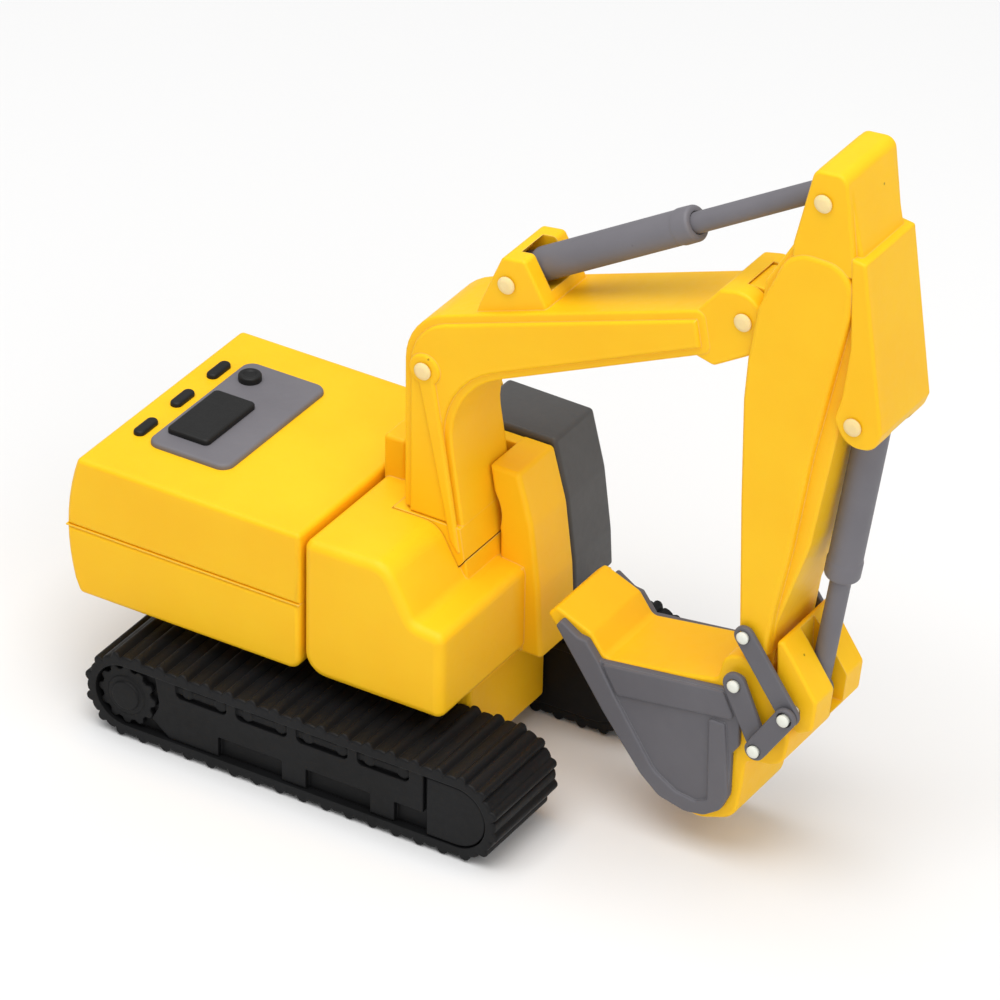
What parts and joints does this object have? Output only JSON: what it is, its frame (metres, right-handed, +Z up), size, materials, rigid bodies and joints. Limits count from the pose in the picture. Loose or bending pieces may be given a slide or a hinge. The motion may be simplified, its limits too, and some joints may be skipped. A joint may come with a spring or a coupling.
{
  "type": "miniature tracked excavator",
  "caption": "Miniature tracked excavator with a cab, pinned boom, stick and bucket linkage, and an engine house that pulls off a hidden plug.",
  "frame": {"origin": "centre of the bounding box on the ground plane, under the track grousers", "axes": "+X forward towards the bucket, +Y the cab side, +Z up"},
  "size_m": [0.0742, 0.033, 0.0694],
  "materials": {
    "yellow_pvc": "satin soft moulding",
    "grey_pvc": "satin soft moulding",
    "cab_glass_pvc": "satin, opaque",
    "black_pvc": "satin soft moulding",
    "ivory_pin": "satin",
    "plug_steel": "nickel plated",
    "tongue_plastic": "gloss",
    "board_green": "solder mask",
    "chip_black": "matt"
  },
  "bodies": {
    "undercarriage": {"carbody": "yellow_pvc", "slew_hub": "black_pvc", "track_belt_left": "black_pvc", "track_belt_right": "black_pvc", "track_frame_left": "black_pvc", "track_frame_right": "black_pvc", "drive_sprocket_left": "black_pvc", "drive_sprocket_right": "black_pvc", "idler_wheel_left": "black_pvc", "idler_wheel_right": "black_pvc"},
    "house": {"house_front": "yellow_pvc", "cab_glass": "cab_glass_pvc", "usb_plug_shell": "plug_steel", "usb_tongue": "tongue_plastic", "plug_carrier": "black_pvc", "usb_board": "board_green", "memory_chip": "chip_black", "controller_chip": "chip_black", "crystal": "plug_steel", "boom_foot_pin": "plug_steel"},
    "cap": {"engine_house_upper": "yellow_pvc", "engine_house_lower": "yellow_pvc", "roof_panel": "grey_pvc", "roof_hatch": "black_pvc", "exhaust_stub": "black_pvc", "roof_vent_1": "black_pvc", "roof_vent_2": "black_pvc", "roof_vent_3": "black_pvc"},
    "boom": {"boom": "yellow_pvc", "knee_pin": "ivory_pin", "stick_cylinder_base_pin": "ivory_pin", "stick_pivot_pin": "ivory_pin"},
    "stick": {"stick": "yellow_pvc", "stick_cylinder_eye_pin": "ivory_pin", "bucket_cylinder_base_pin": "ivory_pin", "rocker_pin": "ivory_pin"},
    "stick_barrel": {"stick_cylinder_barrel": "grey_pvc"},
    "stick_rod": {"stick_cylinder_rod": "grey_pvc"},
    "bucket": {"bucket": "yellow_pvc", "bucket_side_plate_left": "grey_pvc", "bucket_side_plate_right": "grey_pvc", "bucket_ear_left": "grey_pvc", "bucket_ear_right": "grey_pvc", "bucket_pivot_pin": "ivory_pin", "ear_pin": "ivory_pin"},
    "rocker": {"knuckle_block": "yellow_pvc", "rocker_link_left": "grey_pvc", "rocker_link_right": "grey_pvc", "knuckle_pin": "ivory_pin"},
    "push_link": {"push_link_left": "grey_pvc", "push_link_right": "grey_pvc"},
    "bucket_barrel": {"bucket_cylinder_barrel": "grey_pvc"},
    "bucket_rod": {"bucket_cylinder_rod": "grey_pvc"}
  },
  "joints": [
    {"name": "slew", "type": "hinge", "parent": "undercarriage", "child": "house", "pos_m": [-0.00903, 0, 0.0106], "axis": [0, 0, 1], "range_deg": [-105, 105]},
    {"name": "cap_pull", "type": "slide", "parent": "house", "child": "cap", "axis": [-1, 0, 0], "range_m": [0, 0.02]},
    {"name": "boom_pivot", "type": "hinge", "parent": "house", "child": "boom", "pos_m": [-0.00523, 0, 0.0232], "axis": [0, -1, 0], "range_deg": [0, 15]},
    {"name": "stick_pivot", "type": "hinge", "parent": "boom", "child": "stick", "pos_m": [0.02397, 0, 0.053], "axis": [0, -1, 0], "range_deg": [-5, 30]},
    {"name": "stick_cylinder_swing", "type": "hinge", "parent": "boom", "child": "stick_barrel", "pos_m": [0.00117, 0, 0.0489], "axis": [0, -1, 0], "range_deg": [-3, 12]},
    {"name": "stick_cylinder_stroke", "type": "slide", "parent": "stick_barrel", "child": "stick_rod", "axis": [0.8623, 0, 0.5064], "range_m": [-0.006, 0.0015]},
    {"name": "bucket_pivot", "type": "hinge", "parent": "stick", "child": "bucket", "pos_m": [0.02517, 0, 0.0187], "axis": [0, -1, 0], "range_deg": [-10, 35]},
    {"name": "rocker_swing", "type": "hinge", "parent": "stick", "child": "rocker", "pos_m": [0.02587, 0, 0.0238], "axis": [0, -1, 0], "range_deg": [-9, 27]},
    {"name": "push_link_swing", "type": "hinge", "parent": "bucket", "child": "push_link", "pos_m": [0.02767, 0, 0.0134], "axis": [0, -1, 0], "range_deg": [-32, 10]},
    {"name": "bucket_cylinder_swing", "type": "hinge", "parent": "stick", "child": "bucket_barrel", "pos_m": [0.03467, 0, 0.0468], "axis": [0, -1, 0], "range_deg": [-2, 5]},
    {"name": "bucket_cylinder_stroke", "type": "slide", "parent": "bucket_barrel", "child": "bucket_rod", "axis": [-0.1452, 0, -0.9894], "range_m": [-0.0032, 0.0012]}
  ],
  "couplings": [
    {"joint": "stick_cylinder_swing", "follows": "stick_pivot", "ratio": 0.357},
    {"joint": "stick_cylinder_stroke", "follows": "stick_pivot", "m_per_rad": -0.00974},
    {"joint": "rocker_swing", "follows": "bucket_pivot", "ratio": 0.72},
    {"joint": "push_link_swing", "follows": "bucket_pivot", "ratio": -0.87},
    {"joint": "bucket_cylinder_swing", "follows": "bucket_pivot", "ratio": 0.118},
    {"joint": "bucket_cylinder_stroke", "follows": "bucket_pivot", "m_per_rad": -0.00447}
  ]
}
